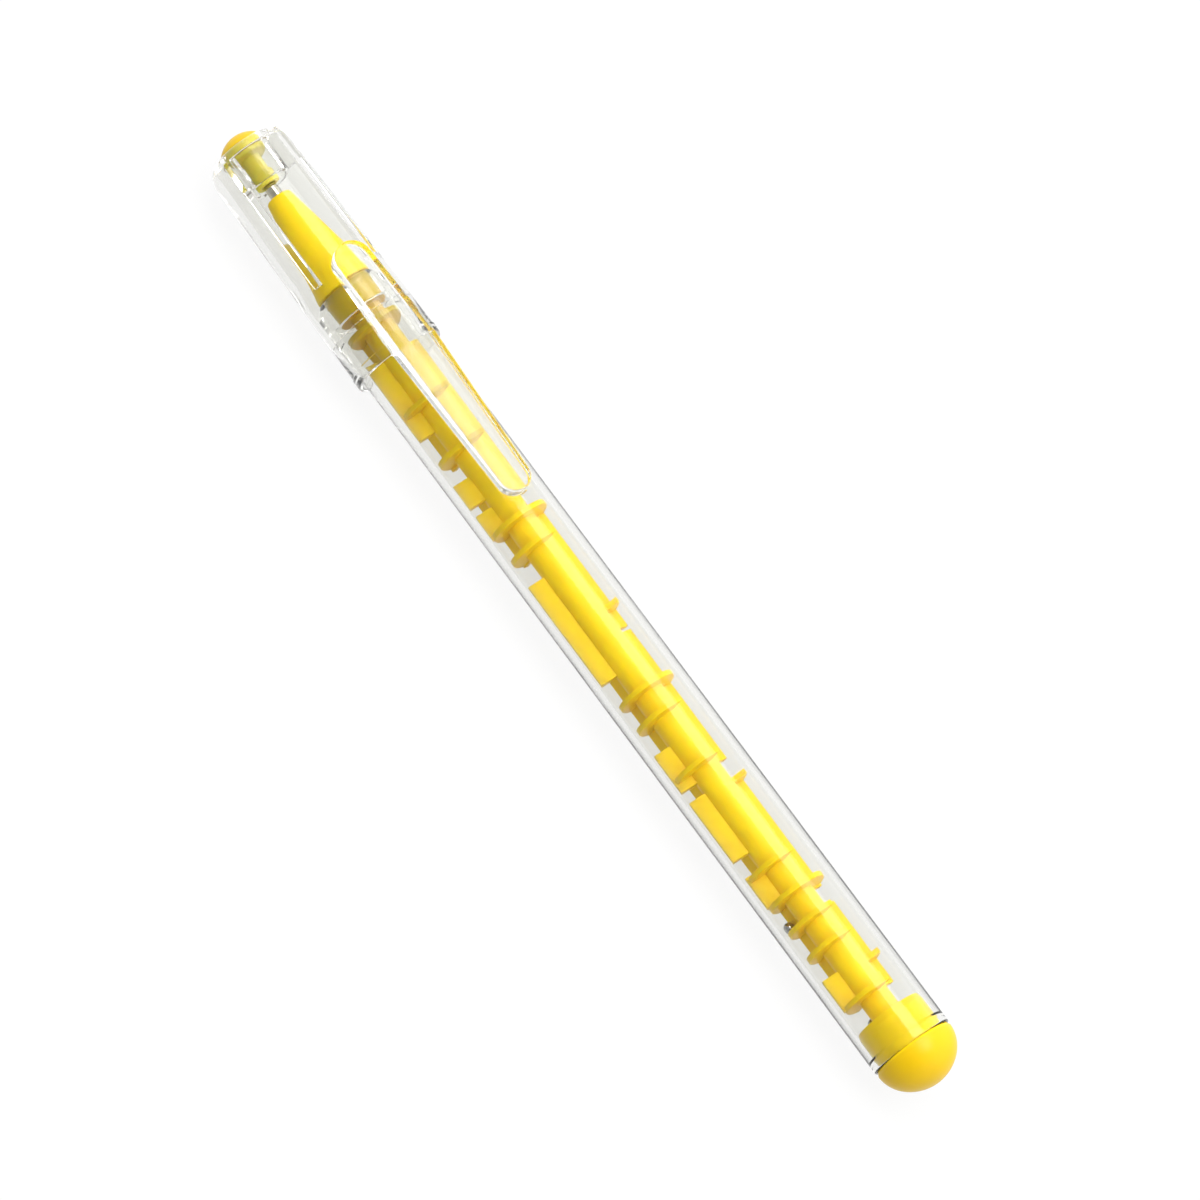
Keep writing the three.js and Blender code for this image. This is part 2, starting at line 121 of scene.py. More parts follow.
# The maze's straight walls: angle round the rod, first station, last station.
STRAIGHT_WALLS = (
    (112, 34.5, 58.4), (112, 60.7, 79.9), (112, 80.4, 100.9), (112, 103.6, 120.9), (112, 123.3, 135.9),
    (-158, 30.4, 50.9), (-158, 53.4, 66.2), (-158, 69.4, 135.7),
    (157, 41.5, 59.5), (157, 66.0, 88.0), (157, 93.5, 113.5), (157, 124.5, 136.0),
)
# The short thick walls, all at one angle: first station, last station.
BLOCK_ANGLE = -99
BLOCKS = (
    (34.2, 46.2), (53.4, 57.0), (58.2, 61.9), (69.4, 85.0), (96.1, 101.9), (103.5, 112.8), (115.3, 120.0),
    (131.4, 136.1),
)
# The round walls: station, first angle, last angle.
ROUND_WALLS = (
    (30.8, -170, 150), (42.7, -150, 20), (50.2, -160, 20), (61.7, -150, 112), (65.7, -160, 20),
    (77.1, 60, 200), (88.7, -160, 112), (92.4, -160, 20), (100.4, -100, 20), (104.1, 65, 165),
    (115.9, -130, 20), (120.3, -160, 112), (124.3, -160, 20), (128.2, -160, 20), (132.1, 65, 200),
    (136.0, -160, 20),
)


def bore(station):
    """The radius of the barrel's bore, which widens towards the tail."""
    front, draft = 4.368, 0.0038
    return front + draft * (station - BARREL_FRONT)


def rgb(hex_colour):
    """An sRGB hex colour as linear red, green and blue."""
    channels = (int(hex_colour[i:i + 2], 16) / 255 for i in (0, 2, 4))
    return tuple(c / 12.92 if c <= 0.04045 else ((c + 0.055) / 1.055) ** 2.4 for c in channels)


class PenSizes(bpy.types.PropertyGroup):
    """Sizes of the pen that the CAD frame leaves open."""

    wall_height: bpy.props.FloatProperty(
        name="Straight wall height", description="From the pen's axis to the top of a straight maze wall",
        default=4.23 * MM, unit="LENGTH")
    ring_height: bpy.props.FloatProperty(
        name="Round wall height", description="From the pen's axis to the top of a round maze wall",
        default=4.04 * MM, unit="LENGTH")
    wall_thickness: bpy.props.FloatProperty(
        name="Straight wall thickness", description="Thickness of a straight maze wall",
        default=0.88 * MM, unit="LENGTH")
    block_thickness: bpy.props.FloatProperty(
        name="Thick wall thickness", description="Thickness of the short thick maze walls",
        default=1.18 * MM, unit="LENGTH")
    ring_thickness: bpy.props.FloatProperty(
        name="Round wall thickness", description="Thickness of a round maze wall",
        default=0.7 * MM, unit="LENGTH")
    edge_round: bpy.props.FloatProperty(
        name="Moulded edge", description="Radius of the moulded yellow edges",
        default=0.09 * MM, unit="LENGTH")
    clip_round: bpy.props.FloatProperty(
        name="Clip edge", description="Radius of the clip's long edges",
        default=0.28 * MM, unit="LENGTH")


class PenColours(bpy.types.PropertyGroup):
    """Colours of the pen's plastics and metals."""

    yellow: bpy.props.FloatVectorProperty(
        name="Yellow", description="Colour of the moulded yellow pieces",
        default=rgb("FFD900"), subtype="COLOR", min=0, max=1)
    # The dome yellow is the yellow painted darker, a painted shade: the domes stand outside the clear walls,
    # and this darker copy evens them with the yellow seen through the walls.
    dome: bpy.props.FloatVectorProperty(
        name="Dome yellow", description="Colour of the two domed yellow plugs",
        default=rgb("C8A400"), subtype="COLOR", min=0, max=1)
    clear: bpy.props.FloatVectorProperty(
        name="Clear tint", description="Tint of the clear barrel and cap",
        default=rgb("F1F1EE"), subtype="COLOR", min=0, max=1)
    stem: bpy.props.FloatVectorProperty(
        name="Stem yellow", description="Colour of the cap plug where it is thin",
        default=rgb("FFEC50"), subtype="COLOR", min=0, max=1)
    refill: bpy.props.FloatVectorProperty(
        name="Refill tube", description="Colour of the unpigmented refill tube",
        default=rgb("E6E6DF"), subtype="COLOR", min=0, max=1)
    ink: bpy.props.FloatVectorProperty(
        name="Ink", description="Colour of the ink",
        default=rgb("10208C"), subtype="COLOR", min=0, max=1)
    steel: bpy.props.FloatVectorProperty(
        name="Steel", description="Colour of the polished steel balls",
        default=rgb("A5A5A3"), subtype="COLOR", min=0, max=1)
    point: bpy.props.FloatVectorProperty(
        name="Nickel silver", description="Colour of the writing point",
        default=rgb("C4C0B2"), subtype="COLOR", min=0, max=1)


class PenStage(bpy.types.PropertyGroup):
    """The floor, the light and the camera."""

    floor: bpy.props.FloatVectorProperty(
        name="Floor", description="Colour of the floor",
        default=rgb("3C3C3B"), subtype="COLOR", min=0, max=1)
    glow: bpy.props.FloatProperty(
        name="Floor glow", description="How brightly the floor is lit from below, as a light table is",
        default=0.92, min=0, max=2)
    camera_turn: bpy.props.FloatProperty(
        name="Camera turn",
        description="How far the camera stands from straight above the clip, round the pen",
        default=math.radians(23), subtype="ANGLE")
    camera_height: bpy.props.FloatProperty(
        name="Camera height", description="From the pen's axis to the camera, square to the axis",
        default=1.226, unit="LENGTH")
    camera_along: bpy.props.FloatProperty(
        name="Camera along", description="How far the camera stands from the pen's middle towards its tail",
        default=0.23206, unit="LENGTH")
    aim_along: bpy.props.FloatProperty(
        name="Aim along", description="Where the camera aims, from the pen's middle towards its tail",
        default=0.00086, unit="LENGTH")
    aim_across: bpy.props.FloatProperty(
        name="Aim across", description="Where the camera aims, across the pen",
        default=0.00217, unit="LENGTH")
    slope: bpy.props.FloatProperty(
        name="Slope", description="How steeply the pen runs down from left to right, as the camera sees it",
        default=math.radians(53.27), subtype="ANGLE")
    lens: bpy.props.FloatProperty(
        name="Lens", description="The camera's focal length in millimetres",
        default=299.3, unit="CAMERA")


# Materials.
def add(tree, kind, inputs=None, **settings):
    """Adds a node, sets its settings, and sets or links its inputs."""
    made = tree.nodes.new(kind)
    for key, value in settings.items():
        setattr(made, key, value)
    for socket, value in (inputs or {}).items():
        if isinstance(value, bpy.types.NodeSocket):
            tree.links.new(value, made.inputs[socket])
        else:
            made.inputs[socket].default_value = value
    return made


def blank_material(name):
    material = bpy.data.materials.new(name)
    material.use_nodes = True
    material.node_tree.nodes.clear()
    return material, material.node_tree


def finish_material(tree, shader):
    add(tree, "ShaderNodeOutputMaterial", {"Surface": shader.outputs[0]})


def clear_polystyrene(colours):
    """Crystal polystyrene, injection moulded in a polished tool: water clear, with a high gloss and a faint
    ripple where the melt flowed."""
    material, tree = blank_material("clear_polystyrene")
    where = add(tree, "ShaderNodeTexCoord").outputs["Object"]
    # The ripple is about 6 mm long along the pen and 2 mm across.
    stretched = add(tree, "ShaderNodeMapping", {
        "Vector": where, "Scale": (1 / (6 * MM), 1 / (2 * MM), 1 / (2 * MM))})
    ripple = add(tree, "ShaderNodeTexNoise", {"Vector": stretched.outputs[0], "Scale": 1.0, "Detail": 2.0})
    bump = add(tree, "ShaderNodeBump", {"Height": ripple.outputs[0], "Strength": 0.12, "Distance": 0.05 * MM})
    handling = add(tree, "ShaderNodeTexNoise", {"Vector": where, "Scale": 1 / (3 * MM), "Detail": 4.0})
    gloss = add(tree, "ShaderNodeMapRange", {
        "Value": handling.outputs[0], "From Min": 0.35, "From Max": 0.75, "To Min": 0.0, "To Max": 0.05})
    # Its true index is 1.59. A lower one, with half the mirroring, gives the soft pale edges of a thin wall
    # in a white room, and keeps the yellow behind it deep.
    shader = add(tree, "ShaderNodeBsdfPrincipled", {
        "Base Color": (*colours.clear, 1), "Roughness": gloss.outputs[0], "IOR": 1.37,
        "Specular Tint": (0.5, 0.5, 0.5, 1), "Transmission Weight": 1.0, "Normal": bump.outputs[0]})
    finish_material(tree, shader)
    return material


def yellow_plastic(colours):
    """The yellow plastic of the maze core and the nose cone."""
    return moulded_yellow("yellow_plastic", colours.yellow, colours.yellow, 0, 0)


def tail_plastic(colours):
    """The same plastic in the tail plug: darker in its dome outside the barrel than in the skirt inside it, a
    painted shade.
    """
    return moulded_yellow("tail_plastic", colours.yellow, colours.dome, BARREL_END, 0)


def cap_plug_plastic(colours):
    """The same plastic in the cap's plug: painted darker in the dome, a painted shade, and pale where its
    body and stem are thin.
    """
    return moulded_yellow("cap_plug_plastic", colours.dome, colours.stem, CAP_FACE, 0.1)


def moulded_yellow(name, front, back, border, clarity):
    """Pigmented polypropylene, injection moulded: a dense yellow that light goes a little way into, with a
    satin gloss and a very fine grain from the tool. It changes from the front colour to the back one at the
    border, a station, and lets a share of the light through behind it."""
    material, tree = blank_material(name)
    where = add(tree, "ShaderNodeTexCoord").outputs["Object"]
    # Pigment streaks about 4 mm long.
    cloud = add(tree, "ShaderNodeTexNoise", {"Vector": where, "Scale": 1 / (4 * MM), "Detail": 3.0})
    tone = add(tree, "ShaderNodeMapRange", {
        "Value": cloud.outputs[0], "From Min": 0.3, "From Max": 0.7, "To Min": 0.97, "To Max": 1.03})
    along = add(tree, "ShaderNodeSeparateXYZ", {"Vector": where}).outputs["X"]
    # The colours meet over 0.4 mm.
    behind = add(tree, "ShaderNodeMapRange", {
        "Value": along, "From Min": START_X + border * MM, "From Max": START_X + (border + 0.4) * MM})
    # Sockets 6 and 7 are the mix node's two colours.
    shade = add(tree, "ShaderNodeMix", {0: behind.outputs[0], 6: (*front, 1), 7: (*back, 1)},
                data_type="RGBA")
    colour = add(tree, "ShaderNodeHueSaturation", {"Color": shade.outputs[2], "Value": tone.outputs[0]})
    # Grain 0.25 mm across: the real one is finer, and wouldn't show at the whole pen's scale.
    grain = add(tree, "ShaderNodeTexNoise", {"Vector": where, "Scale": 1 / (0.25 * MM), "Detail": 2.0})
    bump = add(tree, "ShaderNodeBump", {"Height": grain.outputs[0], "Strength": 0.15, "Distance": 0.02 * MM})
    gloss = add(tree, "ShaderNodeMapRange", {
        "Value": cloud.outputs[0], "From Min": 0.3, "From Max": 0.7, "To Min": 0.3, "To Max": 0.4})
    shader = add(tree, "ShaderNodeBsdfPrincipled", {
        "Base Color": colour.outputs[0], "Roughness": gloss.outputs[0],
        "IOR": 1.49, "Specular IOR Level": 0.2, "Subsurface Weight": 0.25,
        "Subsurface Radius": (0.9, 0.6, 0.1), "Subsurface Scale": 0.8 * MM, "Normal": bump.outputs[0]})
    if clarity:
        thin = add(tree, "ShaderNodeMapRange", {"Value": behind.outputs[0], "To Max": clarity})
        tree.links.new(thin.outputs[0], shader.inputs["Transmission Weight"])
    finish_material(tree, shader)
    return material


def natural_polypropylene(colours):
    """Unpigmented extruded polypropylene: a milky tube with a soft shine along the draw lines."""
    material, tree = blank_material("natural_polypropylene")
    where = add(tree, "ShaderNodeTexCoord").outputs["Object"]
    # Draw lines 0.2 mm apart round the tube and 20 mm long.
    drawn = add(tree, "ShaderNodeMapping", {
        "Vector": where, "Scale": (1 / (20 * MM), 1 / (0.2 * MM), 1 / (0.2 * MM))})
    lines = add(tree, "ShaderNodeTexNoise", {"Vector": drawn.outputs[0], "Scale": 1.0, "Detail": 2.0})
    gloss = add(tree, "ShaderNodeMapRange", {"Value": lines.outputs[0], "To Min": 0.8, "To Max": 0.85})
    bump = add(tree, "ShaderNodeBump", {"Height": lines.outputs[0], "Strength": 0.2, "Distance": 0.01 * MM})
    shader = add(tree, "ShaderNodeBsdfPrincipled", {
        "Base Color": (*colours.refill, 1), "Roughness": gloss.outputs[0], "IOR": 1.49,
        "Transmission Weight": 0.5, "Normal": bump.outputs[0]})
    finish_material(tree, shader)
    return material


def ballpoint_ink(colours):
    """Oil-based ballpoint ink: a dark wet paste that clings to the tube."""
    material, tree = blank_material("ballpoint_ink")
    where = add(tree, "ShaderNodeTexCoord").outputs["Object"]
    smear = add(tree, "ShaderNodeTexNoise", {"Vector": where, "Scale": 1 / (1.5 * MM), "Detail": 3.0})
    tone = add(tree, "ShaderNodeMapRange", {"Value": smear.outputs[0], "To Min": 0.7, "To Max": 1.3})
    colour = add(tree, "ShaderNodeHueSaturation", {"Color": (*colours.ink, 1), "Value": tone.outputs[0]})
    shader = add(tree, "ShaderNodeBsdfPrincipled", {
        "Base Color": colour.outputs[0], "Roughness": 0.18, "IOR": 1.47})
    finish_material(tree, shader)
    return material


def polished_steel(colours):
    """Hardened bearing steel, ground and tumbled to a mirror: bright, with a few hairline marks."""
    material, tree = blank_material("polished_steel")
    where = add(tree, "ShaderNodeTexCoord").outputs["Object"]
    marks = add(tree, "ShaderNodeTexNoise", {"Vector": where, "Scale": 1 / (0.3 * MM), "Detail": 3.0})
    gloss = add(tree, "ShaderNodeMapRange", {"Value": marks.outputs[0], "To Min": 0.04, "To Max": 0.14})
    shader = add(tree, "ShaderNodeBsdfPrincipled", {
        "Base Color": (*colours.steel, 1), "Metallic": 1.0, "Roughness": gloss.outputs[0]})
    finish_material(tree, shader)
    return material


def nickel_silver(colours):
    """Drawn nickel silver, turned to a point: a warm grey metal with fine rings from the lathe."""
    material, tree = blank_material("nickel_silver")
    where = add(tree, "ShaderNodeTexCoord").outputs["Object"]
    # Rings 0.15 mm apart along the point.
    rings = add(tree, "ShaderNodeTexWave", {
        "Vector": where, "Scale": 1 / (0.15 * MM) / (2 * math.pi), "Distortion": 0.4},
        wave_type="BANDS", bands_direction="X")
    gloss = add(tree, "ShaderNodeMapRange", {"Value": rings.outputs[1], "To Min": 0.16, "To Max": 0.3})
    bump = add(tree, "ShaderNodeBump", {"Height": rings.outputs[1], "Strength": 0.2, "Distance": 0.005 * MM})
    shader = add(tree, "ShaderNodeBsdfPrincipled", {
        "Base Color": (*colours.point, 1), "Metallic": 1.0, "Roughness": gloss.outputs[0],
        "Normal": bump.outputs[0]})
    finish_material(tree, shader)
    return material


MADE = {}


def material(maker):
    """The material that a maker function makes, made once."""
    if maker not in MADE:
        MADE[maker] = maker(bpy.context.scene.pen_colours)
    return MADE[maker]


# Shapes, in the pen's own coordinates.
def place(station, angle, radius):
    """A point at a station, an angle round the axis and a radius, in the row frame."""
    turn = math.radians(angle)
    across, up = radius * math.sin(turn), radius * math.cos(turn)
    return Vector((START_X + station * MM, across * MM, AXIS_Z + up * MM))


def rounded(points, steps=5):
    """A profile with its corners rounded. Each point is (station, radius) or (station, radius, fillet)."""
    result = []
    count = len(points)
    for i, (station, radius, *fillet) in enumerate(points):
        corner = Vector((station, radius))
        if not fillet:
            result.append((station, radius))
            continue
        before = Vector(points[i - 1][:2]) - corner
        after = Vector(points[(i + 1) % count][:2]) - corner
        half = before.angle(after) / 2
        cut = min(fillet[0] / math.tan(half), 0.49 * before.length, 0.49 * after.length)
        size = cut * math.tan(half)
        centre = corner + (before.normalized() + after.normalized()).normalized() * (size / math.sin(half))
        first = corner + before.normalized() * cut - centre
        last = corner + after.normalized() * cut - centre
        sweep = first.angle(last)
        for k in range(steps + 1):
            share = k / steps
            arm = (first * math.sin((1 - share) * sweep) + last * math.sin(share * sweep)) / math.sin(sweep)
            result.append((centre.x + arm.x, centre.y + arm.y))
    return result


def turned(profile, steps):
    """A solid of revolution about the pen's axis, from a profile of (station, radius) points. The profile is
    a closed loop, or starts and ends on the axis."""
    mesh = bmesh.new()
    rings = []
    for station, radius in profile:
        if radius < 1e-6:
            rings.append([mesh.verts.new(place(station, 0, 0))])
        else:
            rings.append([mesh.verts.new(place(station, 360 * k / steps, radius)) for k in range(steps)])
    closed = len(rings[0]) > 1
    for i in range(len(rings) if closed else len(rings) - 1):
        one, two = rings[i], rings[(i + 1) % len(rings)]
        for k in range(steps):
            after = (k + 1) % steps
            corners = [one[k % len(one)], one[after % len(one)], two[after % len(two)], two[k % len(two)]]
            mesh.faces.new(list(dict.fromkeys(corners)))
    return mesh


def object_from(mesh, name):
    """An object in the scene from a bmesh, smooth shaded, with its sharp edges kept."""
    data = bpy.data.meshes.new(name)
    bmesh.ops.recalc_face_normals(mesh, faces=mesh.faces)
    mesh.to_mesh(data)
    mesh.free()
    data.shade_smooth()
    data.set_sharp_from_angle(angle=SHARP_EDGE)
    piece = bpy.data.objects.new(name, data)
    bpy.context.scene.collection.objects.link(piece)
    return piece


def dress(piece, maker, slot, body, *nodes):
    """Gives a piece its material, and rides it on its body in place of its CAD nodes. Its slot argument is
    not used.
    """
    piece.data.materials.clear()
    piece.data.materials.append(material(maker))
    for node in nodes:
        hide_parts(node)
    if body:
        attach(piece, body)


def fused(pieces, name):
    """One solid from several that overlap."""
    base, *others = pieces
    group = bpy.data.collections.new(name + "_parts")
    for other in others:
        bpy.context.scene.collection.objects.unlink(other)
        group.objects.link(other)
    union = base.modifiers.new("union", "BOOLEAN")
    union.operation = "UNION"
    union.operand_type = "COLLECTION"
    union.collection = group
    union.solver = "EXACT"
    union.use_self = True
    depsgraph = bpy.context.evaluated_depsgraph_get()
    data = bpy.data.meshes.new_from_object(base.evaluated_get(depsgraph))
    base.modifiers.clear()
    for other in others:
        bpy.data.objects.remove(other)
    bpy.data.collections.remove(group)
    old = base.data
    base.data = data
    bpy.data.meshes.remove(old)
    base.name = data.name = name
    data.shade_smooth()
    data.set_sharp_from_angle(angle=SHARP_EDGE)
    return base


def wall_block(angle, first, last, inner, outer, thickness, edge):
    """A straight wall along the pen with rounded edges."""
    mesh = bmesh.new()
    bmesh.ops.create_cube(mesh, size=1)
    for vert in mesh.verts:
        vert.co = Vector((vert.co.x * (last - first), vert.co.y * thickness, vert.co.z * (outer - inner)))
    bmesh.ops.bevel(mesh, geom=mesh.edges, offset=edge, segments=3, profile=0.5, affect="EDGES",
                    clamp_overlap=True)
    middle = Vector(((first + last) / 2, 0, (inner + outer) / 2))
    turn = Matrix.Rotation(-math.radians(angle), 3, "X")
    for vert in mesh.verts:
        point = turn @ (vert.co + middle)
        vert.co = Vector((START_X + point.x * MM, point.y * MM, AXIS_Z + point.z * MM))
    return mesh


def ring_block(station, first, last, inner, outer, thickness, edge):
    """A wall part of the way round the pen, with rounded rims and ends."""
    half = thickness / 2
    rim = rounded([(half, inner), (half, outer, edge), (-half, outer, edge), (-half, inner)], steps=3)
    steps = max(2, round((last - first) / 4))
    mesh = bmesh.new()
    sections = []
    for k in range(steps + 1):
        angle = first + (last - first) * k / steps
        sections.append([mesh.verts.new(place(station + along, angle, radius)) for along, radius in rim])
    for one, two in zip(sections, sections[1:]):
        for i in range(len(rim)):
            j = (i + 1) % len(rim)
            mesh.faces.new([one[i], one[j], two[j], two[i]])
    mesh.faces.new(sections[0])
    mesh.faces.new(sections[-1][::-1])
    return mesh


class PEN_OT_barrel(bpy.types.Operator):
    """Build the clear barrel"""

    bl_idname = "pen.barrel"
    bl_label = "Clear barrel"

    def execute(self, context):
        tail = reach("barrel_tube")
        front = tail - 0.285
        chamfer_length, chamfer_depth = 1.5, 1.06
        groove_half, groove_depth = 0.32, 0.1
        bore_tail = bore(BARREL_END)
        profile = rounded([
            (BARREL_END, bore_tail, 0.08),
            (BARREL_END, tail, 0.22),
            (BARREL_FRONT + chamfer_length, front, 0.5),
            (BARREL_FRONT, front - chamfer_depth, 0.2),
            (BARREL_FRONT, COLLAR_R, 0.15),
            (COLLAR_END, COLLAR_R, 0.12),
            (COLLAR_END, bore(COLLAR_END), 0.1),
            (SNAP - groove_half, bore_tail, 0.1),
            (SNAP, bore_tail + groove_depth, 0.12),
            (SNAP + groove_half, bore_tail, 0.1),
        ])
        piece = object_from(turned(profile, ROUND_STEPS), "clear_barrel")
        dress(piece, clear_polystyrene, "clear_polystyrene", "barrel", "barrel_tube")
        return {"FINISHED"}


class PEN_OT_maze_core(bpy.types.Operator):
    """Build the moulded maze: a hollow rod with straight and round walls"""

    bl_idname = "pen.maze_core"
    bl_label = "Maze core"

    def execute(self, context):
        sizes = context.scene.pen_sizes
        first, last = stations("maze_core")
        edge = sizes.edge_round / MM
        wall_height, ring_height = sizes.wall_height / MM, sizes.ring_height / MM
        rod = rounded([(last, ROD_BORE_R), (last, ROD_R, 0.15), (first, ROD_R, 0.15), (first, ROD_BORE_R)])
        pieces = [object_from(turned(rod, SMALL_STEPS), "maze_rod")]
        # Every wall starts inside the rod.
        root = (ROD_BORE_R + ROD_R) / 2
        thickness = sizes.wall_thickness / MM
        for angle, start, end in STRAIGHT_WALLS:
            mesh = wall_block(angle, start, end, root, wall_height, thickness, edge)
            pieces.append(object_from(mesh, "maze_wall"))
        thickness = sizes.block_thickness / MM
        for start, end in BLOCKS:
            mesh = wall_block(BLOCK_ANGLE, start, end, root, wall_height, thickness, edge)
            pieces.append(object_from(mesh, "maze_block"))
        thickness = sizes.ring_thickness / MM
        for station, start, end in ROUND_WALLS:
            mesh = ring_block(station, start, end, root, ring_height, thickness, edge)
            pieces.append(object_from(mesh, "maze_ring"))
        core = fused(pieces, "maze_moulding")
        dress(core, yellow_plastic, "yellow_plastic", "barrel", "maze_core")
        return {"FINISHED"}


class PEN_OT_balls(bpy.types.Operator):
    """Build the loose steel balls and the writing ball"""

    bl_idname = "pen.balls"
    bl_label = "Steel balls"

    def execute(self, context):
        for node, name in (("maze_ball_1", "steel_ball_1"), ("maze_ball_2", "steel_ball_2"),
                           ("writing_ball", "point_ball")):
            low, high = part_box(node)
            # A little smaller than its box, so that it stays inside it.
            radius = (high.x - low.x) / 2 * 0.995
            mesh = bmesh.new()
            bmesh.ops.create_icosphere(mesh, subdivisions=4, radius=radius)
            bmesh.ops.translate(mesh, vec=(low + high) / 2, verts=mesh.verts)
            piece = object_from(mesh, name)
            dress(piece, polished_steel, "polished_steel", node, node)
        return {"FINISHED"}


class PEN_OT_nose(bpy.types.Operator):
    """Build the yellow nose cone"""

    bl_idname = "pen.nose"
    bl_label = "Nose cone"

    def execute(self, context):
        tip = 1.73
        spigot = COLLAR_R - SEAT_GAP
        point_hole = SHANK_R + SEAT_GAP
        socket_floor = NOSE_END - ROD_SOCKET_DEPTH
        profile = rounded([
            (NOSE_END, ROD_SOCKET_R),
            (NOSE_END, spigot, 0.2),
            (NOSE_BASE, spigot, 0.1),
            (NOSE_BASE, reach("nose_cone"), 0.25),
            (NOSE_FRONT, tip, 0.45),
            (NOSE_FRONT, point_hole, 0.1),
            (SHANK_END, point_hole),
            (SHANK_END, ROD_BORE_R),
            (socket_floor, ROD_BORE_R),
            (socket_floor, ROD_SOCKET_R),
        ])
        piece = object_from(turned(profile, SOFT_STEPS), "yellow_nose")
        dress(piece, yellow_plastic, "yellow_plastic", "barrel", "nose_cone")
        return {"FINISHED"}


class PEN_OT_tail(bpy.types.Operator):
    """Build the domed tail plug"""

    bl_idname = "pen.tail"
    bl_label = "Tail plug"

    def execute(self, context):
        dome_base = BARREL_END + 0.3
        rim = 0.2  # the straight rim under the dome
        dome_length = TAIL_TIP - dome_base - rim
        dome = reach("tail_plug")
        bluntness = 1.95  # 2 is an ellipse, and less is more pointed
        skirt = bore(TAIL_FACE) - SEAT_GAP
        lead_length, lead_depth = 0.9, 0.22
        bead_half, bead_height = 0.3, 0.06
        socket_floor = TAIL_FACE + ROD_SOCKET_DEPTH
        dome_steps = 24
        outline = []
        for k in range(dome_steps + 1):
            angle = math.pi / 2 * k / dome_steps
            outline.append((dome_base + rim + dome_length * math.cos(angle) ** (2 / bluntness),
                            dome * math.sin(angle) ** (2 / bluntness)))
        profile = outline + rounded([
            (dome_base, dome, 0.12),
            (dome_base, skirt, 0.05),
            (SNAP + bead_half, skirt),
            (SNAP, skirt + bead_height, 0.1),
            (SNAP - bead_half, skirt),
            (TAIL_FACE + lead_length, skirt, 0.3),
            (TAIL_FACE, skirt - lead_depth, 0.12),
            (TAIL_FACE, ROD_SOCKET_R),
            (socket_floor, ROD_SOCKET_R),
        ]) + [(socket_floor, 0)]
        piece = object_from(turned(profile, SOFT_STEPS), "tail_dome")
        dress(piece, tail_plastic, "yellow_plastic", "barrel", "tail_plug")
        return {"FINISHED"}


class PEN_OT_refill(bpy.types.Operator):
    """Build the refill: its tube, ink and metal point"""

    bl_idname = "pen.refill"
    bl_label = "Refill"

    def execute(self, context):
        outer, bore = 1.24, 0.85
        first, last = stations("refill_tube")
        tube = rounded([(last, bore, 0.08), (last, outer, 0.1), (first, outer, 0.1), (first, bore, 0.08)])
        piece = object_from(turned(tube, SMALL_STEPS), "refill_sleeve")
        dress(piece, natural_polypropylene, "natural_polypropylene", "barrel", "refill_tube")

        # The ink's tail is hollowed, as it clings to the tube.
        first, last = stations("ink_column")
        column = [(last - 0.5, 0), (last - 0.35, 0.45),
                  (last, REFILL_CONTENT_R), (first, REFILL_CONTENT_R), (first, 0)]
        piece = object_from(turned(column, SMALL_STEPS), "ink")
        dress(piece, ballpoint_ink, "ink", "barrel", "ink_column")

        seat, channel = 0.39, 0.25
        shank = SHANK_R - 0.01
        cone_length = 1.9
        centre = stations("writing_ball")[0] + 0.35
        # The seat closes over the ball, from 50 degrees off its back to 125.
        lip = [(centre + seat * math.cos(math.radians(a)), seat * math.sin(math.radians(a)))
               for a in range(125, 49, -15)]
        point = rounded([
            (POINT_END, channel),
            (POINT_END, REFILL_CONTENT_R, 0.1),
            (SHANK_END, REFILL_CONTENT_R),
            (SHANK_END, shank, 0.06),
            (centre + cone_length, shank, 0.3),
            (lip[0][0], seat + 0.03),
        ]) + lip + [(centre + math.sqrt(seat ** 2 - channel ** 2), channel)]
        piece = object_from(turned(point, SMALL_STEPS), "writing_point")
        dress(piece, nickel_silver, "nickel_silver", "barrel", "metal_point")
        return {"FINISHED"}


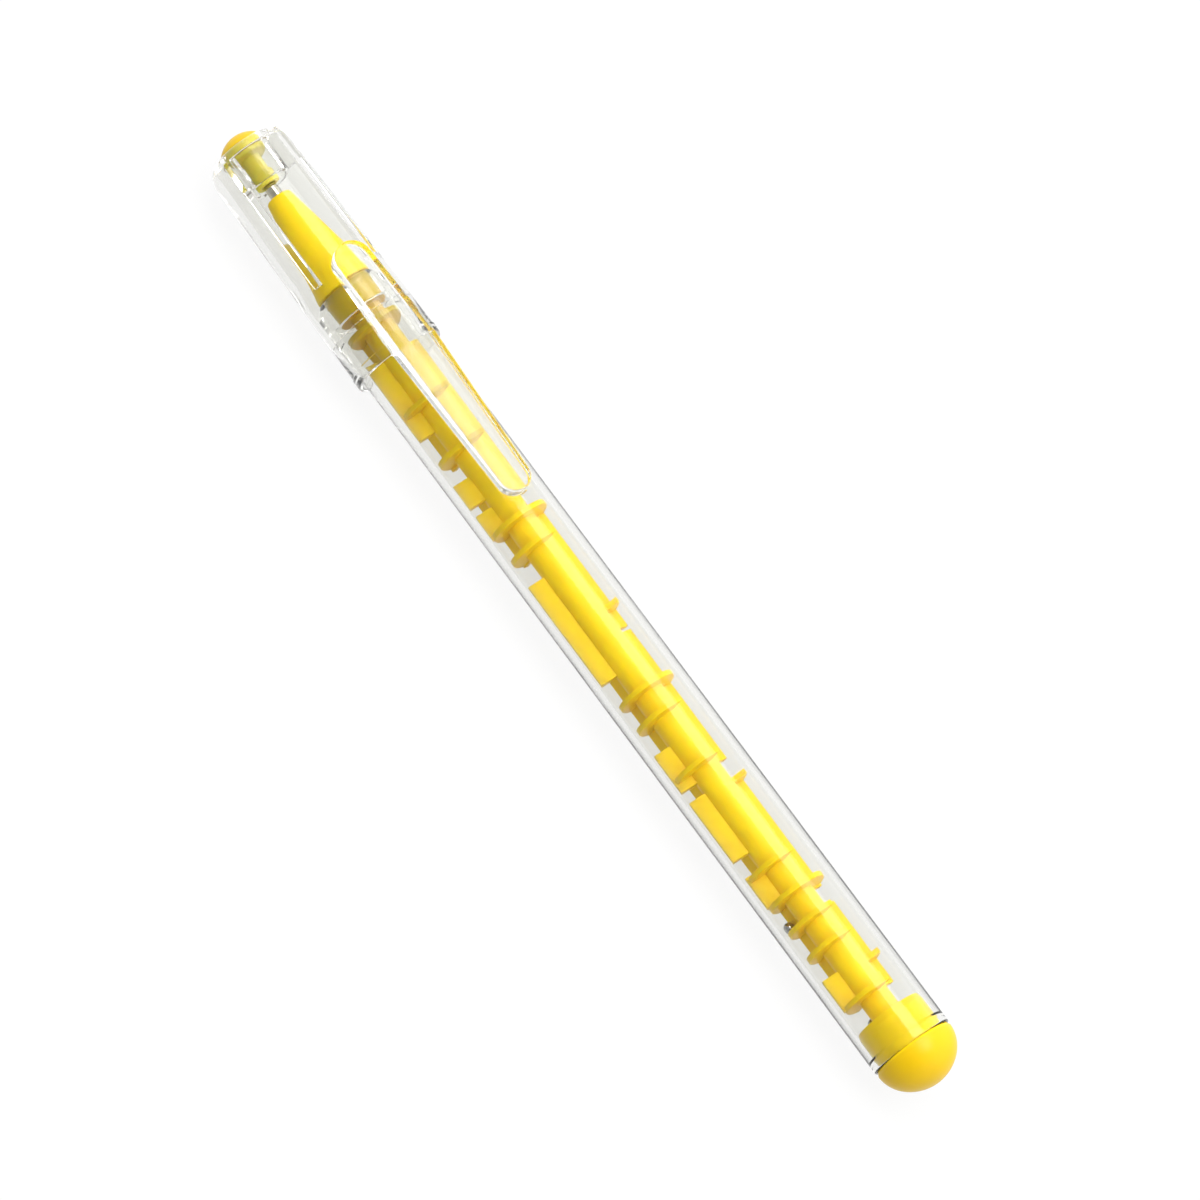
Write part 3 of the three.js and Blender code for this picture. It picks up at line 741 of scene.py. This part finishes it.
class PEN_OT_cap(bpy.types.Operator):
    """Build the clear cap with its inner ribs and its clip"""

    bl_idname = "pen.cap"
    bl_label = "Clear cap and clip"

    def shell(self):
        """The cap's wall, its front face and the sleeve inside it."""
        face, shoulder_length, shoulder_steps = 3.5, 2.7, 16
        shoulder_end = CAP_FACE + shoulder_length
        waist_station = 21.0
        lip_length, lip_step = 1.4, 0.11
        sleeve_bore, sleeve = 2.65, 3.32
        # The bore grips the barrel along its tight part, which widens from the cavity over the lead.
        tight, relief = 5.418, 5.59
        tight_start = BARREL_FRONT - 4.4
        tight_end = tight_start + 9.6
        lead = 3.6
        mouth_length = 0.6
        curve = []
        for k in range(1, shoulder_steps):
            angle = math.pi / 2 * k / shoulder_steps
            curve.append((shoulder_end - shoulder_length * math.sin(angle),
                          face + (CAP_SHOULDER_R - face) * math.cos(angle)))
        profile = rounded([
            (CAP_MOUTH, relief + 0.2, 0.1),
            (CAP_MOUTH, CAP_LIP_R - 0.02, 0.22),
            (CAP_MOUTH - lip_length, CAP_LIP_R, 0.1),
            (CAP_MOUTH - lip_length - 0.15, CAP_LIP_R - lip_step, 0.1),
            (waist_station, CAP_WAIST_R),
            (shoulder_end, CAP_SHOULDER_R),
        ]) + curve + rounded([
            (CAP_FACE, face),
            (CAP_FACE, sleeve_bore, 0.08),
            (CAP_SLEEVE_END, sleeve_bore, 0.2),
            (CAP_SLEEVE_END, sleeve, 0.25),
            (CAP_INSIDE, sleeve, 0.15),
            (CAP_INSIDE, CAP_SHOULDER_R - 1.0, 0.4),
            (tight_start, CAP_CAVITY_R, 8),
            (tight_start + lead, tight, 8),
            (tight_end, tight, 0.06),
            (tight_end + 0.1, relief, 0.06),
            (CAP_MOUTH - mouth_length, relief),
        ])
        return object_from(turned(profile, ROUND_STEPS), "cap_shell")

    def ribs(self):
        """The three inner ribs, each with a web that joins it to the sleeve."""
        width, height = 1.05, 0.65
        sleeve_middle = 3.0
        rib_end = BARREL_FRONT - 1.7
        pieces = []
        for angle in (-56, 56, 180):
            web = wall_block(angle, CAP_INSIDE - 0.7, CAP_SLEEVE_END - 0.05,
                             sleeve_middle, CAP_SHOULDER_R - 0.4, width, 0.06)
            rib = wall_block(angle, CAP_SLEEVE_END - 1, rib_end,
                             CAP_CAVITY_R - height, CAP_SHOULDER_R - 0.25, width, 0.1)
            pieces += [object_from(web, "cap_web"), object_from(rib, "cap_rib")]
        return pieces

    def clip(self, sizes):
        """The clip: a strip with round ends, its root sunk in the cap's wall and its arm free."""
        edge = sizes.clip_round / MM
        root_length, root_rise, tip_top = 15.1, 1.95, 7.58
        root_half, mouth_half, tip_half = 2.49, reach("clip_arm"), 2.19
        sunk_radius = 5.78  # how deep the root reaches into the cap's wall
        under_slope = 0.0025  # the arm's underside follows the barrel
        root_front = CAP_MOUTH - root_length
        root_end, tip_start = root_front + root_half, CLIP_TIP - tip_half
        arm_low, arm_high = ((corner.z - AXIS_Z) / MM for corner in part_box("clip_arm"))
        tops = ((root_front, CAP_WAIST_R + root_rise), (CAP_MOUTH, arm_high - 0.01), (CLIP_TIP, tip_top))
        halves = ((root_end, root_half), (CAP_MOUTH, mouth_half), (tip_start, tip_half))

        def along(table, station):
            """A table's value at a station, in a straight line between its rows."""
            for (a, low), (b, high) in zip(table, table[1:]):
                if station <= b:
                    return low + (high - low) * max(0.0, (station - a) / (b - a))
            return table[-1][1]

        def height(station):
            """The clip's outer face."""
            return along(tops, station)

        def under(station, y):
            """The clip's underside: sunk in the cap up to its mouth, then free over the barrel."""
            sunk = math.sqrt(sunk_radius ** 2 - y ** 2)
            free = arm_low + 0.01 + under_slope * (station - CAP_MOUTH)
            share = min(max((station - CAP_MOUTH - 0.05) / 0.25, 0), 1)
            return sunk + (free - sunk) * share

        bends, columns, fillet_steps = 14, 10, 5
        ends = [math.pi / 2 * k / bends for k in range(bends + 1)]
        # Rows about 1 mm apart, and closer ones where the underside leaves the cap.
        count = round(tip_start - root_end)
        straight = [root_end + (tip_start - root_end) * k / count for k in range(count + 1)]
        straight = sorted(set(straight + [CAP_MOUTH + step for step in (0, 0.05, 0.15, 0.3)]))

        def rows(inset):
            """(station, half width) pairs from the root's end to the tip, for an outline inset."""
            root, tip = root_half - inset, tip_half - inset
            return ([(root_end - root * math.cos(a), root * math.sin(a)) for a in ends[:-1]]
                    + [(s, along(halves, s) - inset) for s in straight]
                    + [(tip_start + tip * math.sin(a), tip * math.cos(a)) for a in ends[1:]])

        mesh = bmesh.new()

        def point(station, y, z):
            return mesh.verts.new(Vector((START_X + station * MM, y * MM, AXIS_Z + z * MM)))

        # Loops go down the clip's edge, over the top fillet and then the one underneath. After them, grids
        # close the outer face and the underside.
        turns = [math.pi / 2 * k / fillet_steps for k in range(fillet_steps + 1)]
        fillet = [(edge * (1 - math.sin(a)), edge * (1 - math.cos(a))) for a in turns]
        loops = []
        for inset, drop in fillet:
            outline = rows(inset)
            loops.append([(point(s, -y, height(s) - drop), point(s, y, height(s) - drop))
                          for s, y in outline])
        for inset, rise in reversed(fillet):
            outline = rows(inset)
            loops.append([(point(s, -y, under(s, y) + rise), point(s, y, under(s, y) + rise))
                          for s, y in outline])
        for one, two in zip(loops, loops[1:]):
            for i in range(len(one) - 1):
                for side in (0, 1):
                    mesh.faces.new([one[i][side], one[i + 1][side], two[i + 1][side], two[i][side]])
        outline = rows(fillet[0][0])
        for loop, level in ((loops[0], "top"), (loops[-1], "under")):
            grid = []
            for (s, y), (left, right) in zip(outline, loop):
                inner = []
                for k in range(1, columns):
                    across = -y + 2 * y * k / columns
                    z = height(s) if level == "top" else under(s, across)
                    inner.append(point(s, across, z))
                grid.append([left, *inner, right])
            for one, two in zip(grid, grid[1:]):
                for k in range(columns):
                    mesh.faces.new([one[k], one[k + 1], two[k + 1], two[k]])
        bmesh.ops.remove_doubles(mesh, verts=mesh.verts, dist=0.0004 * MM)
        return object_from(mesh, "clip_strip")

    def execute(self, context):
        sizes = context.scene.pen_sizes
        cap = fused([self.shell(), *self.ribs(), self.clip(sizes)], "clear_cap")
        dress(cap, clear_polystyrene, "clear_polystyrene", None, "cap_body", "clip_arm")
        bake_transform(cap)
        return {"FINISHED"}


class PEN_OT_cap_plug(bpy.types.Operator):
    """Build the cap's domed plug, with its stem and the socket that covers the point"""

    bl_idname = "pen.cap_plug"
    bl_label = "Cap plug"

    def execute(self, context):
        dome, body = reach("cap_plug"), 2.6
        socket = 0.97
        stem, head = socket + 0.38, socket + 0.68
        head_start = PLUG_END - 1.8
        socket_floor = PLUG_BODY_END + 2.15
        # The dome is part of a sphere, CAP_FACE high.
        sphere = (CAP_FACE ** 2 + dome ** 2) / (2 * CAP_FACE)
        dome_steps = 16
        turns = [math.asin(dome / sphere) * k / dome_steps for k in range(dome_steps)]
        outline = [(sphere * (1 - math.cos(a)), sphere * math.sin(a)) for a in turns]
        profile = [(socket_floor, 0)] + rounded([
            (socket_floor, socket),
            (PLUG_END, socket, 0.08),
            (PLUG_END, head, 0.15),
            (head_start, head, 0.15),
            (head_start, stem, 0.1),
            (PLUG_BODY_END, stem, 0.1),
            (PLUG_BODY_END, body, 0.2),
            (CAP_FACE, body, 0.05),
            (CAP_FACE, dome, 0.1),
        ]) + outline[::-1]
        piece = object_from(turned(profile, SOFT_STEPS), "cap_dome")
        dress(piece, cap_plug_plastic, "yellow_plastic", "cap", "cap_plug")
        return {"FINISHED"}


class PEN_OT_stage(bpy.types.Operator):
    """Build the floor, the light and the camera"""

    bl_idname = "pen.stage"
    bl_label = "Stage"

    def floor(self, stage):
        """A large opal sheet just under the pen, lit from below."""
        mesh = bmesh.new()
        bmesh.ops.create_grid(mesh, x_segments=1, y_segments=1, size=3)
        bmesh.ops.translate(mesh, vec=(0, 0, -0.1 * MM), verts=mesh.verts)
        floor = object_from(mesh, "floor")
        sheet, tree = blank_material("opal_sheet")
        where = add(tree, "ShaderNodeTexCoord").outputs["Object"]
        cloud = add(tree, "ShaderNodeTexNoise", {"Vector": where, "Scale": 12.0, "Detail": 2.0})
        rough = add(tree, "ShaderNodeMapRange", {"Value": cloud.outputs[0], "To Min": 0.8, "To Max": 0.9})
        shader = add(tree, "ShaderNodeBsdfPrincipled", {
            "Base Color": (*stage.floor, 1), "Roughness": rough.outputs[0], "Specular IOR Level": 0.1,
            "Emission Color": (1, 1, 1, 1), "Emission Strength": stage.glow})
        finish_material(tree, shader)
        floor.data.materials.append(sheet)

    def world(self):
        """A white room with one dark side, so that the clear plastic mirrors little towards the camera."""
        bright, dark = 2.0, 0.6
        dark_side = (0, -0.71, 0.71)
        world = bpy.data.worlds.new("studio")
        bpy.context.scene.world = world
        world.use_nodes = True
        tree = world.node_tree
        tree.nodes.clear()
        direction = add(tree, "ShaderNodeTexCoord").outputs["Generated"]
        facing = add(tree, "ShaderNodeVectorMath", {0: direction, 1: dark_side}, operation="DOT_PRODUCT")
        level = add(tree, "ShaderNodeMapRange", {
            "Value": facing.outputs["Value"], "From Min": 0.0, "From Max": 0.6,
            "To Min": bright, "To Max": dark})
        background = add(tree, "ShaderNodeBackground", {"Color": (1, 1, 1, 1), "Strength": level.outputs[0]})
        add(tree, "ShaderNodeOutputWorld", {"Surface": background.outputs[0]})

    def softbox(self, name, centre, target, width, length, watts):
        """A long lamp that lies along the pen and faces a target."""
        data = bpy.data.lights.new(name, "AREA")
        data.shape = "RECTANGLE"
        data.size = length
        data.size_y = width
        data.energy = watts
        lamp = bpy.data.objects.new(name, data)
        back = (Vector(centre) - Vector(target)).normalized()
        along = (Vector((1, 0, 0)) - back * back.x).normalized()
        across = back.cross(along)
        turn = Matrix((along, across, back)).transposed().to_4x4()
        lamp.matrix_world = Matrix.Translation(centre) @ turn
        bpy.context.scene.collection.objects.link(lamp)

    def camera(self, stage):
        """A long lens above the pen, turned so that the pen runs down to the right."""
        turn = stage.camera_turn
        out = Vector((0, -math.sin(turn), math.cos(turn)))
        across = Vector((0, math.cos(turn), math.sin(turn)))
        axis = Vector((0, 0, AXIS_Z))
        eye = axis + Vector((stage.camera_along, 0, 0)) + out * stage.camera_height
        aim = axis + Vector((stage.aim_along, 0, 0)) + across * stage.aim_across
        back = (eye - aim).normalized()
        along = (Vector((1, 0, 0)) - back * back.x).normalized()
        side = back.cross(along)
        right = along * math.cos(stage.slope) + side * math.sin(stage.slope)
        up = side * math.cos(stage.slope) - along * math.sin(stage.slope)
        data = bpy.data.cameras.new("camera")
        data.sensor_width = 36
        data.lens = stage.lens
        data.clip_start = 0.05
        data.clip_end = 20
        camera = bpy.data.objects.new("camera", data)
        camera.matrix_world = Matrix.Translation(eye) @ Matrix((right, up, back)).transposed().to_4x4()
        bpy.context.scene.collection.objects.link(camera)
        bpy.context.scene.camera = camera

    def execute(self, context):
        stage = context.scene.pen_stage
        self.floor(stage)
        self.world()
        self.softbox("top_softbox", centre=(0, 0.16, 0.785), target=(0, 0, 0),
                     width=0.43, length=1.2, watts=11.5)
        self.camera(stage)
        context.scene.view_settings.view_transform = "Standard"
        # Light bounces many times inside the clear walls.
        context.scene.cycles.max_bounces = 32
        context.scene.cycles.glossy_bounces = 24
        context.scene.cycles.transmission_bounces = 32
        return {"FINISHED"}


class PEN_PT_panel(bpy.types.Panel):
    """The pen's settings and its pieces"""

    bl_idname = "PEN_PT_panel"
    bl_label = "Maze Pen"
    bl_space_type = "VIEW_3D"
    bl_region_type = "UI"
    bl_category = "Maze Pen"

    def draw(self, context):
        scene = context.scene
        for group in (scene.pen_sizes, scene.pen_colours, scene.pen_stage):
            box = self.layout.box()
            for key in group.__annotations__:
                box.prop(group, key)
        for operator in OPERATORS:
            self.layout.operator(operator.bl_idname)


GROUPS = {"pen_sizes": PenSizes, "pen_colours": PenColours, "pen_stage": PenStage}
OPERATORS = (PEN_OT_barrel, PEN_OT_maze_core, PEN_OT_balls, PEN_OT_nose, PEN_OT_tail, PEN_OT_refill,
             PEN_OT_cap, PEN_OT_cap_plug, PEN_OT_stage)


def register():
    for kind in (*GROUPS.values(), *OPERATORS, PEN_PT_panel):
        bpy.utils.register_class(kind)
    for name, group in GROUPS.items():
        setattr(bpy.types.Scene, name, bpy.props.PointerProperty(type=group))


def unregister():
    for name in GROUPS:
        delattr(bpy.types.Scene, name)
    for kind in reversed((*GROUPS.values(), *OPERATORS, PEN_PT_panel)):
        bpy.utils.unregister_class(kind)


def main():
    register()
    for operator in OPERATORS:
        group, name = operator.bl_idname.split(".")
        getattr(getattr(bpy.ops, group), name)()


if __name__ == "__main__":
    main()
